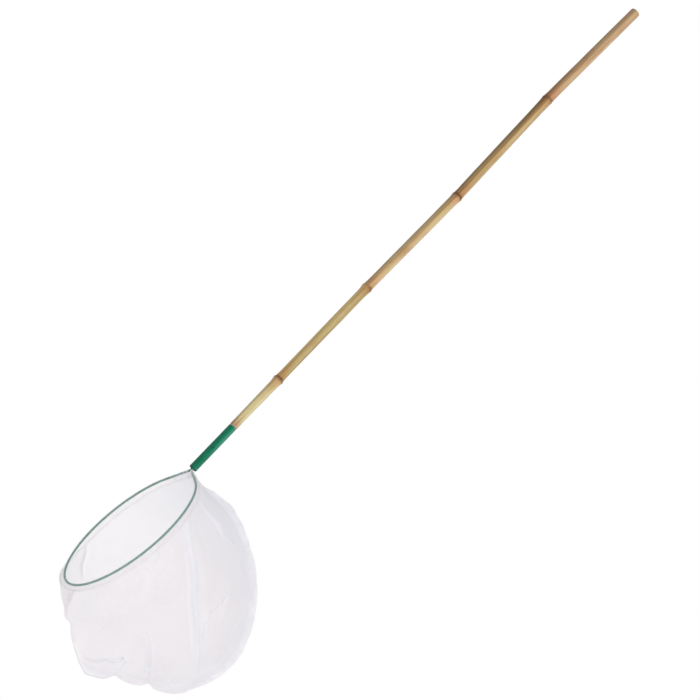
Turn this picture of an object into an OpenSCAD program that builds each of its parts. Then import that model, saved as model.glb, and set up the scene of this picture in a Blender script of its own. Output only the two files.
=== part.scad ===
// Pond net: a bamboo cane, a metal ferrule, a wire hoop and a bag of sheer net.
// It is modelled as it hangs in use, with the cane held on a slant and the bag hanging straight down.
// The cane rises along +X, the hoop is level along Y, and the bag's seam lies in the plane of X and Z.
// The origin is on the axis of the cane's top stretch, where a hand or a clip holds the net.

/* [Cane] */
// Diameter of the cane just above the ferrule
cane_low_d = 10.4; // [9.8:0.1:12]
// Diameter to which the cane's lower end is cut down for the ferrule
cane_end_d = 9; // [8.4:0.1:9.4]
// Length of the shoulder between the two
shoulder_l = 1; // [0.5:0.1:3]
// Diameter of the cane along its top stretch
cane_top_d = 13.2; // [12:0.1:18]
// Average length of cane from one growth ring to the next
internode_l = 172; // [120:1:240]
// Slope of the cane above the horizontal
cane_slope = 42.5; // [25:0.5:65]
// How far the lowest growth ring stands out from the cane
ring_h = 1.3; // [0.6:0.1:2.5]
// Length over which the cane swells below a growth ring
ring_swell_l = 14; // [8:1:40]
// How far the foot of a stretch flares above a growth ring
foot_flare = 0.1; // [0.05:0.05:0.2]
// Length of that foot
foot_l = 1.5; // [1:0.1:4]
// Width of the worn edge on a growth ring and on the cane's top end
edge_w = 0.6; // [0.2:0.1:1]
// Diameter of the pith hole in the top end
pith_d = 4.6; // [2:0.1:8]
// Depth of the pith hole in the top end
pith_l = 40; // [10:1:90]
// Distance of the grip's middle from the cane's top end
grip_from_top = 90; // [60:1:100]

/* [Ferrule] */
// Length of the ferrule
ferrule_l = 72; // [50:1:100]
// Wall of the ferrule at its upper end
ferrule_wall = 0.6; // [0.5:0.1:1.2]
// How much thicker the wall is at the lower end
ferrule_thicken = 0.05; // [0:0.05:0.4]
// Clearance between the ferrule and the cane
ferrule_clear = 0.05; // [0.02:0.01:0.2]
// Gap between the ferrule's upper end and the cane's shoulder
shoulder_gap = 0.2; // [0.1:0.1:1]
// How far the cane's lower end lies inside the ferrule's mouth
cane_inset = 1.5; // [0.5:0.5:6]
// Distance of the punch mark from the ferrule's mouth
punch_at = 35; // [15:1:45]
// Diameter of the punch mark
punch_d = 2.4; // [1:0.1:4]
// Depth of the punch mark
punch_depth = 0.35; // [0.1:0.05:0.45]

/* [Hoop] */
// Diameter of the hoop, on the wire's centre line
hoop_d = 190; // [150:1:260]
// Diameter of the wire
wire_d = 2.6; // [2:0.1:3.2]
// Angle on each side of the neck over which the hoop runs straight
neck_turn = 24.5; // [18:0.5:35]
// Bend radius where the hoop turns into its two tails, on the centre line
bend_r = 4; // [3:0.5:8]
// Angle by which the hoop droops from the cane's line
neck_bend = 2; // [0.5:0.5:8]
// How much the wire and the rim's cloth thicken where a bend or a straight run begins
bend_swell = 0.05; // [0.03:0.01:0.1]
// Gap between the two tails
tail_gap = 0.3; // [0.1:0.1:1]
// Length of each tail inside the cane
tail_l = 58; // [30:1:66]
// Clearance round the tails in their bore
tail_clear = 0.15; // [0.05:0.05:0.4]
// Spare depth of the bore past the tails
bore_spare = 4; // [1:1:10]
// Bare wire between the hoop's bends and the ferrule's mouth
mouth_gap = 1; // [0.5:0.5:5]

/* [Rim] */
// Thickness of the rim casing's cloth
casing_t = 0.8; // [0.4:0.1:1.2]
// Clearance between the casing and the wire
casing_clear = 0.15; // [0.05:0.05:0.5]
// Drop of the casing below the wire's centre line
casing_drop = 9; // [6:0.5:16]
// Bare wire between the casing's end and the hoop's bend
casing_back = 1; // [0.5:0.5:10]
// Distance of the hem's stitching above the casing's lower edge
hem_line = 2; // [1:0.5:3]

/* [Bag] */
// Thickness of the net
net_t = 0.8; // [0.4:0.1:1.2]
// How far the seam is pulled outwards as it leaves the neck
neck_pull_out = 115; // [80:1:150]
// How far the seam is pulled down as it leaves the neck
neck_pull_down = 75; // [40:1:100]
// How far the seam dips just outside the neck
neck_dip = 8; // [0:0.5:10]
// How far outwards from the neck the seam is pulled on its way to the bottom
low_pull_out = 112; // [70:1:150]
// How far below the neck the seam is pulled on its way to the bottom
low_pull_down = 326; // [260:1:360]
// How far the bag's far bottom corner lies in from the hoop's far side
corner_in = 11; // [0:1:40]
// How far the bag's far bottom corner lies below the hoop's far side
corner_drop = 95; // [70:1:130]
// How far the far edge is pulled outwards between the hoop and that corner
far_bow = 22; // [5:1:40]
// How the bag narrows from the hoop down to its seam, where 1 is straight
bag_taper = 1.2; // [1:0.1:2]
// How far the bag swells out below the hoop
shoulder = 8; // [0:0.5:12]
// Share of the bag's depth over which it swells
shoulder_reach = 0.4; // [0.3:0.05:0.6]
// Depth of the deepest fold, from the cloth's middle
fold_h = 4; // [0:0.5:6]
// Width of a fold, as a share of the way round a panel
fold_w = 0.05; // [0.04:0.005:0.08]
// Width of net left outside the seam
seam_allow = 9; // [6:0.5:12]
// Width to which that strip is drawn in at the neck and towards the far bottom corner
neck_allow = 3.6; // [3:0.1:5]
// Distance of the seam's stitching from the fold
seam_line = 2.5; // [2:0.5:4]
// Gap between the two panels at the seam
panel_gap = 0.1; // [0.05:0.05:0.4]
// Gap between a panel's top edge and the casing
hem_gap = 0.15; // [0.12:0.01:0.3]

/* [Thread] */
// Thickness of the sewing thread
thread_d = 0.5; // [0.3:0.1:0.8]
// Gap between the thread and the cloth
thread_gap = 0.03; // [0.01:0.01:0.1]

/* [Hidden] */
$fn = 96;

// The cane has five stretches between growth rings, each a little longer or shorter than the average
internode_share = [0.907, 0.965, 1.006, 1.076, 1.052];
// Turn of the cane at each growth ring, where plus is steeper
ring_turn = [-0.1, -0.7, 1.7, -2.2];
rings = len(ring_turn);
// Share of its height that each growth ring loses against the one below
ring_fade = 0.15;
ring_steps = 6;
// How deep a stretch starts inside the ring below it
ring_sink = 0.8;

function internode(i) = internode_l * internode_share[i];
function lean(i) = i == 0 ? cane_slope : lean(i - 1) + ring_turn[i - 1];
function along(i) = [cos(lean(i)), 0, sin(lean(i))];
function ring_at(i) = i == 0 ? [0, 0, 0] : ring_at(i - 1) + internode(i - 1) * along(i - 1);
function cane_r(i) = (cane_low_d + (cane_top_d - cane_low_d) * i / rings) / 2;
function ring_r(i) = cane_r(i + 1) + ring_h * (1 - ring_fade * i);

grip_at = ring_at(rings + 1) - grip_from_top * along(rings);

wire_r = wire_d / 2;
tail_y = (wire_d + tail_gap) / 2;
bore_r = tail_y + wire_r + tail_clear;
bore_l = tail_l + bore_spare;
cane_end_r = cane_end_d / 2;
ferrule_in_r = cane_end_r + ferrule_clear;
ferrule_top_r = ferrule_in_r + ferrule_wall;
ferrule_low_r = ferrule_top_r + ferrule_thicken;
// The punch mark is the cap of a ball that is cut off at the mark's diameter
punch_r = (pow(punch_d / 2, 2) + pow(punch_depth, 2)) / (2 * punch_depth);
// The punch mark faces the side, a little above the hoop's plane
punch_turn = 20;

hoop_r = hoop_d / 2;
hoop_slope = cane_slope - neck_bend;
hoop_x = [cos(hoop_slope), 0, sin(hoop_slope)];
hoop_n = [-sin(hoop_slope), 0, cos(hoop_slope)];
// Each reverse bend touches the hoop's straight run and the tail's line
bend_y = tail_y + bend_r;
bend_x = (hoop_r + bend_r - bend_y * sin(neck_turn)) / cos(neck_turn);
straight_l = bend_x * sin(neck_turn) - bend_y * cos(neck_turn);
hoop_at = -mouth_gap * along(0) - bend_x * hoop_x;
// Distance of the wire from the hoop's centre, by the angle from the neck
function rim_r(a) = a < neck_turn ? hoop_r / cos(neck_turn - a) : hoop_r;

casing_run = straight_l - casing_back;
// How far a straight run reaches back over the round one
rim_lap = 1;
casing_in_r = wire_r + casing_clear;
casing_out_r = casing_in_r + casing_t;

// The bag's outline is worked out in the plane of X and Z, as [x, z] from the hoop's centre
panel_cols = 28;
panel_rows = 17;
// Share of the long seam that lies on the panel's neck side, the rest being its bottom
seam_split = 0.5;
// Share of the long seam at which it dips lowest under its smooth line
dip_at = 0.045;
rim_x = [hoop_x.x, hoop_x.z];
rim_n = [hoop_n.x, hoop_n.z];
panel_top = casing_drop + hem_gap;
neck_at = rim_r(0) * rim_x - panel_top * rim_n;
far_at = -hoop_r * rim_x - panel_top * rim_n;
corner_at = far_at + [corner_in, -corner_drop];
neck_pull_at = neck_at + [neck_pull_out, -neck_pull_down];
low_pull_at = neck_at + [low_pull_out, -low_pull_down];
far_pull_at = (far_at + corner_at) / 2 - [far_bow, 0];
bag_mid = (seam(seam_split) + far_at) / 2;

function unit(p) = p / norm(p);
function dip(t) = neck_dip * t / dip_at * exp(1 - t / dip_at);
function dip_run(t) = neck_dip / dip_at * (1 - t / dip_at) * exp(1 - t / dip_at);
// The long seam, from the neck round the bottom to the far corner
function seam(t) = pow(1 - t, 3) * neck_at + 3 * pow(1 - t, 2) * t * neck_pull_at
    + 3 * (1 - t) * t * t * low_pull_at + pow(t, 3) * corner_at - [0, dip(t)];
function seam_run(t) = pow(1 - t, 2) * (neck_pull_at - neck_at)
    + 2 * (1 - t) * t * (low_pull_at - neck_pull_at)
    + t * t * (corner_at - low_pull_at) - [0, dip_run(t) / 3];
function seam_out(t) = unit([-seam_run(t).y, seam_run(t).x]);
// The far edge, from the hoop's far side down to the far corner
function far_edge(t) = pow(1 - t, 2) * far_at + 2 * (1 - t) * t * far_pull_at + t * t * corner_at;
far_out = [-1, 0];
// The top edge, from the hoop's far side round to the neck
function top_r(u) = rim_r(180 * (1 - u));
function top_edge(u) = -top_r(u) * cos(180 * u) * rim_x - panel_top * rim_n;
function bottom_edge(u) = seam(1 - (1 - seam_split) * u);
function neck_edge(v) = seam(seam_split * v);

// Each fold has its place on the panel at its top and at its foot, from the far side to the neck, then where
// it begins and ends, from the rim down, and its share of the deepest one
front_folds = [[0.57, 0.48, 0.06, 0.94, 1], [0.69, 0.86, 0, 0.54, 0.9], [0.38, 0.26, 0, 0.32, 0.7],
    [0.76, 0.5, 0.52, 0.78, 0.7], [0.27, 0.28, 0.45, 0.96, 0.8]];
back_folds = [[0.7, 0.58, 0.08, 0.9, 0.8], [0.46, 0.4, 0.1, 0.85, 1], [0.24, 0.28, 0.04, 0.6, 0.7]];
// A fold is a ridge beside a groove, which this factor brings to its full depth
fold_full = sqrt(2 * exp(1));
function ridge(s) = fold_full * s * exp(-s * s);
function fold_at(f, u, v) = let (run = (v - f[2]) / (f[3] - f[2]), across = u - f[0] - (f[1] - f[0]) * run)
    run <= 0 || run >= 1 ? 0 : fold_h * f[4] * sin(180 * run) * ridge(across / fold_w);
function folds_at(folds, u, v) = [for (f = folds) 1] * [for (f = folds) fold_at(f, u, v)];
// How gently the bag's swell begins and ends
swell_power = 1.5;
function swell(u, v) = shoulder * pow(sin(180 * min(1, v / shoulder_reach)), swell_power) * (1 - pow(u, 3));

// A panel is stretched between its four edges, and stands out from the seam's plane
function panel_xz(u, v) = (1 - v) * top_edge(u) + v * bottom_edge(u)
    + (1 - u) * far_edge(v) + u * neck_edge(v)
    - (1 - u) * ((1 - v) * far_at + v * corner_at) - u * ((1 - v) * neck_at + v * neck_edge(1))
    - swell(u, v) * cos(180 * u) * rim_x;
function panel_y(u, v, folds) = -top_r(u) * sin(180 * u) * (1 - pow(v, bag_taper))
    - swell(u, v) * sin(180 * u) - folds_at(folds, u, v);
function in_place(p, y) = [p.x, y, p.y];
function inside_at(u, v, folds) = in_place(panel_xz(u, v), panel_y(u, v, folds));
function outside_at(u, v, folds) = in_place(panel_xz(u, v) - (1 - v) * net_t * cos(180 * u) * rim_x
    + v * net_t * unit(panel_xz(u, v) - bag_mid), panel_y(u, v, folds) - net_t);

// The seam's line, from the hoop's far side down, along the bottom and up to the neck
edge_steps = [
    for (j = [0 : panel_rows]) [0, j / panel_rows],
    for (i = [1 : panel_cols]) [i / panel_cols, 1],
    for (j = [panel_rows - 1 : -1 : 0]) [1, j / panel_rows]
];
function edge_out(u, v) = u == 0 && v < 1 ? far_out
    : u == 0 ? unit(far_out + seam_out(1))
    : v == 1 ? seam_out(1 - (1 - seam_split) * u)
    : seam_out(seam_split * v);
function seam_offset(w) = [for (s = edge_steps) panel_xz(s.x, s.y) + w * edge_out(s.x, s.y)];
// Share of an edge over which the strip outside the seam widens again
strip_fade = 0.3;
// Share of the bottom, from the far corner, that it leaves narrow, and of the far edge where it narrows
strip_from = 0.3;
function widened(share) = neck_allow + (seam_allow - neck_allow) * max(0, min(1, share / strip_fade));
function strip_w(u, v) = u == 1 ? widened(v) : v == 1 ? widened(u - strip_from) : widened(strip_from - v);
strip = [for (s = edge_steps) panel_xz(s.x, s.y) + strip_w(s.x, s.y) * edge_out(s.x, s.y)];

// A four-sided face as two triangles
function two(a, b, c, d) = [[a, b, c], [a, c, d]];

// Places its children from the cane's lower end, with the grip at the origin
module placed() {
    translate(-grip_at) children();
}

// Stands its children on the cane's axis at the start of a stretch
module on_cane(i) {
    placed() translate(ring_at(i)) rotate([0, 90 - lean(i), 0]) children();
}

// Lays its children in the hoop's plane, with X towards the neck
module in_hoop() {
    placed() translate(hoop_at) rotate([0, -hoop_slope, 0]) children();
}

// Runs a section round the hoop's circle
module round_rim() {
    rotate([0, 0, neck_turn]) rotate_extrude(angle = 360 - 2 * neck_turn) translate([hoop_r, 0]) children();
}

// Runs a section straight from the end of the hoop's circle towards the neck, on both sides
module to_neck(l, lap = 0) {
    for (side = [0, 1]) mirror([0, side, 0])
        rotate([0, 0, neck_turn]) translate([hoop_r, lap, 0]) rotate([90, 0, 0])
            linear_extrude(lap + l) children();
}

// A round wire bent through part of a circle
module bent_wire(r, from, turn) {
    rotate([0, 0, from]) rotate_extrude(angle = turn) translate([r, 0]) circle(wire_r);
}

// A stretch of cane that swells towards the growth ring at its upper end
module stretch(i) {
    from = i == 0 ? cane_inset : -ring_sink;
    cut = ferrule_l + shoulder_gap;
    straight = i == 0 ? cut + shoulder_l : 0;
    to = internode(i);
    swell_from = to - ring_swell_l;
    function grown(z) = cane_r(i) + (cane_r(i + 1) - cane_r(i)) * (z - straight) / (to - straight);
    swell = [
        for (k = [0 : ring_steps - 1])
            let (z = swell_from + (ring_swell_l - edge_w) * k / ring_steps, part = pow(k / ring_steps, 2))
                [grown(z) + (ring_r(i) - grown(z)) * part, z]
    ];
    top = [[ring_r(i), to - edge_w], [ring_r(i) - edge_w, to], [0, to]];
    foot = i == 0 ? [[cane_end_r, from], [cane_end_r, cut], [cane_r(i), straight]]
        : [[cane_r(i) + foot_flare, from], [grown(foot_l), foot_l]];
    rotate_extrude() polygon(concat([[0, from]], foot, swell, top));
}

// The top stretch is a plain cylinder with a flared foot and a worn edge
module top_stretch() {
    r = cane_r(rings);
    to = internode(rings);
    rotate_extrude() polygon([[0, -ring_sink], [r + foot_flare, -ring_sink], [r, foot_l], [r, to - edge_w],
        [r - edge_w, to], [0, to]]);
}

module bamboo_cane() {
    color("burlywood") difference() {
        union() {
            for (i = [0 : rings - 1]) on_cane(i) stretch(i);
            on_cane(rings) top_stretch();
        }
        on_cane(0) cylinder(r = bore_r, h = cane_inset + bore_l);
        on_cane(rings) translate([0, 0, internode(rings) - pith_l]) cylinder(d = pith_d, h = pith_l + edge_w);
    }
}

module ferrule() {
    color("seagreen") on_cane(0) difference() {
        rotate_extrude() polygon([[ferrule_in_r, 0], [ferrule_low_r, 0], [ferrule_top_r, ferrule_l],
            [ferrule_in_r, ferrule_l]]);
        punch_skin_r = ferrule_low_r - ferrule_thicken * punch_at / ferrule_l;
        rotate([0, 0, -punch_turn]) translate([0, punch_depth - punch_r - punch_skin_r, punch_at])
            sphere(punch_r);
    }
}

module hoop_wire() {
    color("darkgreen") {
        in_hoop() bent_wire(hoop_r, neck_turn, 360 - 2 * neck_turn);
        in_hoop() to_neck(straight_l) circle(wire_r);
        for (side = [0, 1]) {
            in_hoop() mirror([0, side, 0]) {
                translate([bend_x, bend_y, 0]) bent_wire(bend_r, 180 + neck_turn, 90 - neck_turn);
                rotate([0, 0, neck_turn]) for (run = [0, straight_l])
                    translate([hoop_r, -run, 0]) sphere(wire_r + bend_swell);
            }
            on_cane(0) mirror([0, side, 0]) translate([0, tail_y, -mouth_gap]) {
                sphere(wire_r + bend_swell);
                cylinder(r = wire_r, h = mouth_gap + cane_inset + tail_l);
            }
        }
    }
}

// The folded band in section, round the wire and down to its edge
module band(swell = 0) {
    circle(casing_out_r + swell);
    translate([-casing_t / 2 - swell, -casing_drop - swell]) square([casing_t + 2 * swell, casing_drop]);
}

module rim_casing() {
    color("whitesmoke") in_hoop() difference() {
        union() {
            round_rim() band();
            to_neck(casing_run, rim_lap) band(bend_swell);
        }
        round_rim() circle(casing_in_r);
        to_neck(casing_run + rim_lap, rim_lap) circle(casing_in_r + bend_swell);
    }
}

// One thread lies on each face of the hem
module hem_stitches() {
    off = casing_t / 2 + bend_swell + thread_gap + (thread_d + bend_swell) / 2;
    color("white") in_hoop() for (side = [-off, off]) {
        round_rim() translate([side, hem_line - casing_drop]) circle(d = thread_d);
        to_neck(casing_run, rim_lap) translate([side, hem_line - casing_drop])
            circle(d = thread_d + bend_swell);
    }
}

// A panel of net with its two faces, the strip left outside the seam, and the cut edges that close it
module panel(folds) {
    across = panel_rows + 1;
    face_n = (panel_cols + 1) * across;
    edge_n = len(edge_steps);
    points = concat(
        [for (i = [0 : panel_cols]) for (j = [0 : panel_rows])
            inside_at(i / panel_cols, j / panel_rows, folds)],
        [for (i = [0 : panel_cols]) for (j = [0 : panel_rows])
            outside_at(i / panel_cols, j / panel_rows, folds)],
        [for (p = strip) in_place(p, 0)],
        [for (p = strip) in_place(p, -net_t)]
    );
    function inner(i, j) = i * across + j;
    function outer(i, j) = face_n + inner(i, j);
    function fold(k) = inner(round(edge_steps[k].x * panel_cols), round(edge_steps[k].y * panel_rows));
    function cut_in(k) = 2 * face_n + k;
    function cut_out(k) = 2 * face_n + edge_n + k;
    last = edge_n - 1;
    faces = concat(
        [for (i = [0 : panel_cols - 1]) for (j = [0 : panel_rows - 1])
            each two(outer(i, j), outer(i + 1, j), outer(i + 1, j + 1), outer(i, j + 1))],
        [for (i = [0 : panel_cols - 1]) for (j = [0 : panel_rows - 1])
            each two(inner(i, j + 1), inner(i + 1, j + 1), inner(i + 1, j), inner(i, j))],
        [for (k = [0 : last - 1])
            each two(face_n + fold(k), face_n + fold(k + 1), cut_out(k + 1), cut_out(k))],
        [for (k = [0 : last - 1]) each two(cut_in(k), cut_in(k + 1), fold(k + 1), fold(k))],
        [for (k = [0 : last - 1]) each two(cut_out(k), cut_out(k + 1), cut_in(k + 1), cut_in(k))],
        [for (i = [0 : panel_cols - 1])
            each two(outer(i + 1, 0), outer(i, 0), inner(i, 0), inner(i + 1, 0))],
        two(face_n + fold(0), cut_out(0), cut_in(0), fold(0)),
        two(cut_out(last), face_n + fold(last), fold(last), cut_in(last))
    );
    translate([0, -panel_gap / 2, 0]) polyhedron(points, faces);
}

module front_panel() {
    color("whitesmoke") placed() translate(hoop_at) panel(front_folds);
}

module back_panel() {
    color("white") placed() translate(hoop_at) mirror([0, 1, 0]) panel(back_folds);
}

// One thread lies on each face of the seam
module seam_stitches() {
    band = concat(seam_offset(seam_line - thread_d / 2),
        [for (k = [len(edge_steps) - 1 : -1 : 0]) seam_offset(seam_line + thread_d / 2)[k]]);
    off = panel_gap / 2 + net_t + thread_gap;
    color("white") placed() translate(hoop_at) for (side = [0, 1]) mirror([0, side, 0])
        translate([0, -off, 0]) rotate([90, 0, 0]) linear_extrude(thread_d) polygon(band);
}

bamboo_cane();
ferrule();
hoop_wire();
rim_casing();
hem_stitches();
front_panel();
back_panel();
seam_stitches();
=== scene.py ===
import math

import bmesh
import bpy
from mathutils import Matrix, Vector, noise


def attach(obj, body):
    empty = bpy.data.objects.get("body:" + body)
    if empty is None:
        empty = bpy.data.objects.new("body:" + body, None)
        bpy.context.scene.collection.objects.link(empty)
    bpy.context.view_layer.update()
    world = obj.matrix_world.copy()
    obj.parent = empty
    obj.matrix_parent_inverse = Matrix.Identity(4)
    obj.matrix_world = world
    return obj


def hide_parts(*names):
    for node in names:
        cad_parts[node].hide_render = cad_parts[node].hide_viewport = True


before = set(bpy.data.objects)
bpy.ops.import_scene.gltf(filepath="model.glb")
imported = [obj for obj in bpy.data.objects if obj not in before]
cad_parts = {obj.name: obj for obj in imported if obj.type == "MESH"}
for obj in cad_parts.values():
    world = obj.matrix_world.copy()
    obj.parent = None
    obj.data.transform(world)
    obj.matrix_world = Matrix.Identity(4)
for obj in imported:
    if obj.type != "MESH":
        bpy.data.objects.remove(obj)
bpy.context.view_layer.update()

# Bamboo cane
# One stick of bamboo with four growth rings, cut square at the top and drilled at the bottom for the wire.
# It keeps its own waxy skin, with fibres along it, a brown scar at each ring and painted shade on its upper
# side.
INTERNODE = 0.172
STRETCH_SHARE = (0.907, 0.965, 1.006, 1.076, 1.052)
RING_TURN = (-0.1, -0.7, 1.7, -2.2)
RINGS = len(RING_TURN)
CANE_SLOPE = 42.5
CANE_LOW_R = 0.0052
CANE_END_R = 0.0045
CANE_TOP_R = 0.0066
CANE_INSET = 0.0015
GRIP_FROM_TOP = 0.09
BORE_R = 0.0029
BORE_DEPTH = 0.062
BORE_BEVEL = 0.0003
PITH_R = 0.0023
PITH_DEPTH = 0.04
PITH_RIM = 0.0012
PITH_SINK = 0.0002
FERRULE_L = 0.072
SHOULDER_AT = 0.0722
SHOULDER_L = 0.001
CANE_SIDES = 48
CANE_STEP = 0.006
EDGE_ROUND = 0.0006
ROUND_SHARE = 0.3
TOP_PLAIN = 0.012


def slope_way(degrees):
    """The way up a slope that faces along X."""
    return Vector((math.cos(math.radians(degrees)), 0, math.sin(math.radians(degrees))))


slopes = [CANE_SLOPE]
for ring_turn in RING_TURN:
    slopes.append(slopes[-1] + ring_turn)
alongs = [slope_way(slope) for slope in slopes]
lengths = [INTERNODE * share for share in STRETCH_SHARE]
starts = [(GRIP_FROM_TOP - lengths[RINGS]) * alongs[RINGS]]
for lower in range(RINGS - 1, -1, -1):
    starts.insert(0, starts[0] - lengths[lower] * alongs[lower])
heights = [sum(lengths[:lower]) for lower in range(RINGS + 1)]
cane_length = sum(lengths)


def cane_radius(stretch):
    return CANE_LOW_R + (CANE_TOP_R - CANE_LOW_R) * stretch / RINGS


def stretch_at(height):
    stretch = 0
    while stretch < RINGS and height >= heights[stretch + 1]:
        stretch += 1
    return stretch


def on_cane(place):
    """Moves a point of the upright cane to its place on the crooked, sloping one."""
    stretch = stretch_at(place.z)
    along = alongs[stretch]
    side = Vector((along.z, 0, -along.x))
    return starts[stretch] + (place.z - heights[stretch]) * along + place.x * side + Vector((0, place.y, 0))


def draw_up(name, profile, sides):
    """Draws a round piece up the Z axis, ring by ring, from radii and heights. It is left in edit mode."""
    bpy.ops.object.select_all(action="DESELECT")
    radius, height = profile[0]
    bpy.ops.mesh.primitive_circle_add(vertices=sides, radius=radius, location=(0, 0, height))
    piece = bpy.context.object
    piece.name = name
    piece.data.name = name
    bpy.ops.object.transform_apply(location=True, rotation=True, scale=True)
    bpy.ops.object.mode_set(mode="EDIT")
    bpy.ops.mesh.select_all(action="SELECT")
    for next_radius, next_height in profile[1:]:
        rise = next_height - height
        bpy.ops.mesh.extrude_region_move(TRANSFORM_OT_translate={"value": (0, 0, rise)})
        grow = next_radius / radius
        bpy.ops.transform.resize(value=(grow, grow, 1), center_override=(0, 0, next_height))
        radius, height = next_radius, next_height
    return piece


def pick_rings(piece, sides, last):
    """Selects a drawn piece's first ring of points, and its last one if wanted. It stays in edit mode."""
    bpy.ops.mesh.select_all(action="DESELECT")
    bpy.ops.object.mode_set(mode="OBJECT")
    last_ring = len(piece.data.vertices) - sides
    for vertex in piece.data.vertices:
        vertex.select = vertex.index < sides or (last and vertex.index >= last_ring)
    bpy.ops.object.mode_set(mode="EDIT")
    bpy.ops.mesh.select_mode(type="VERT")


def face_outwards():
    """Turns all faces of the piece in edit mode outwards, and leaves that mode."""
    bpy.ops.mesh.select_all(action="SELECT")
    bpy.ops.mesh.normals_make_consistent(inside=False)
    bpy.ops.object.mode_set(mode="OBJECT")


# Below a ring the cane swells to a sharp lip, and above it starts on a low foot, given by lift and flare
RING_H = 0.0013
RING_FADE = 0.15
RING_SWELL = 0.014
SWELL_STEPS = 7
SWELL_BEND = 2.2
LIP_SHARE = 0.8
LIP_BACK = 0.00015
FOOT_STEPS = ((0.00015, 0.00018), (0.0011, 0.0001), (0.0022, 0.0003), (0.0036, 0.00026), (0.0055, 0.0001))
FOOT_L = 0.009
cane_profile = [
    (BORE_R, CANE_INSET + BORE_DEPTH),
    (BORE_R, CANE_INSET),
    (CANE_END_R - BORE_BEVEL, CANE_INSET),
    (CANE_END_R, CANE_INSET + BORE_BEVEL),
    (CANE_END_R, SHOULDER_AT),
]
for stretch in range(RINGS + 1):
    low_r = cane_radius(stretch)
    foot = SHOULDER_AT + SHOULDER_L if stretch == 0 else FOOT_L
    length = lengths[stretch]
    if stretch > 0:
        for lift, flare in FOOT_STEPS:
            cane_profile.append((low_r + flare, heights[stretch] + lift))
    top_r = cane_radius(stretch + 1) if stretch < RINGS else low_r
    swell_from = length - (RING_SWELL if stretch < RINGS else TOP_PLAIN)
    steps = max(2, round((swell_from - foot) / CANE_STEP))
    for step in range(steps + 1):
        part = step / steps
        lift = foot + (swell_from - foot) * part
        cane_profile.append((low_r + (top_r - low_r) * part, heights[stretch] + lift))
    if stretch < RINGS:
        ring_h = RING_H * (1 - RING_FADE * stretch)
        for step in range(1, SWELL_STEPS + 1):
            part = step / SWELL_STEPS
            lift = swell_from + (RING_SWELL - EDGE_ROUND) * part
            cane_profile.append((top_r + ring_h * part ** SWELL_BEND, heights[stretch] + lift))
        cane_profile.append((top_r + ring_h * LIP_SHARE, heights[stretch] + length - LIP_BACK))
cane_profile += [
    (CANE_TOP_R, cane_length - EDGE_ROUND),
    (CANE_TOP_R - ROUND_SHARE * EDGE_ROUND, cane_length - ROUND_SHARE * EDGE_ROUND),
    (CANE_TOP_R - EDGE_ROUND, cane_length),
    (PITH_R + PITH_RIM, cane_length),
    (PITH_R, cane_length - PITH_SINK),
    (PITH_R, cane_length - PITH_DEPTH),
]
cane = draw_up("bamboo_stick", cane_profile, CANE_SIDES)
bpy.ops.mesh.edge_face_add()
pick_rings(cane, CANE_SIDES, last=False)
bpy.ops.mesh.edge_face_add()
face_outwards()

# The skin is a little uneven, and above each ring it has a branch's bud and the groove that it left
UNEVEN = 0.00016
HOLE_R = 0.004
BRANCH_SIDE = (20, 200, 20, 200, 20)
GROOVE_DEPTH = 0.00035
GROOVE_WIDE = 0.28
GROOVE_START = 0.05
GROOVE_END = 0.75
BUD_H = 0.0006
BUD_L = 0.0018
BUD_AT = 0.0042
BUD_WIDE = 0.1
UNDER_FERRULE = 0.2


def hump(off, wide):
    """A smooth bump that is 1 at its middle and fades out within about two widths."""
    return math.exp(-((off / wide) ** 2))


def unevenness(out, height, turns, rate, shift):
    """Smooth noise round and along a round piece."""
    return noise.noise(Vector((out.x * turns, out.y * turns, height * rate + shift)))


def skin_change(out, height):
    """How far the cane's skin stands out from its plain round."""
    change = UNEVEN * unevenness(out, height, turns=0.6, rate=38, shift=0)
    change += 0.5 * UNEVEN * unevenness(out, height, turns=2.3, rate=140, shift=7)
    stretch = stretch_at(height)
    if stretch > 0 and height < cane_length - EDGE_ROUND:
        turn = math.radians(BRANCH_SIDE[stretch])
        turned = 1 - out.x * math.cos(turn) - out.y * math.sin(turn)
        rise = height - heights[stretch]
        run = rise / lengths[stretch]
        fade = max(0.0, 1 - run / GROOVE_END) * min(1.0, run / GROOVE_START)
        change -= GROOVE_DEPTH * fade * max(0.0, 1 - turned / GROOVE_WIDE) ** 1.5
        change += BUD_H * hump(rise - BUD_AT, BUD_L) * max(0.0, 1 - turned / BUD_WIDE) ** 1.2
    if height < FERRULE_L + SHOULDER_L:
        change = min(change, 0) * UNDER_FERRULE
    return change


# Each point keeps its place on the upright cane for the fibres, and how near it is to a ring's scar and blush
SCAR_STRENGTH = (0.95, 0.85, 1.0, 0.65)
SCAR_ROUND = (1.0, 0.25, 1.0, 0.9)
SCAR_SIDE = math.radians(-50)
SCAR_LIFT = 0.0003
SCAR_ABOVE = 0.0014
SCAR_BELOW = 0.003
BLUSH_REACH = 0.02
scar_way = Vector((math.cos(SCAR_SIDE), math.sin(SCAR_SIDE), 0))
grown = []
scars = []
blushes = []
for vertex in cane.data.vertices:
    place = vertex.co.copy()
    grown.append(place.copy())
    around = Vector((place.x, place.y, 0))
    out = around.normalized()
    sided = max(0.0, out.dot(scar_way)) ** 3
    scar = 0.0
    blush = 0.0
    for ring in range(RINGS):
        off = place.z - heights[ring + 1] - SCAR_LIFT
        strength = SCAR_STRENGTH[ring] * (SCAR_ROUND[ring] + (1 - SCAR_ROUND[ring]) * sided)
        scar = max(scar, strength * hump(off, SCAR_ABOVE if off > 0 else SCAR_BELOW))
        blush = max(blush, hump(off, BLUSH_REACH))
    scars.append(scar)
    blushes.append(blush)
    if around.length >= HOLE_R:
        place += out * skin_change(out, place.z)
    vertex.co = on_cane(place)


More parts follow.
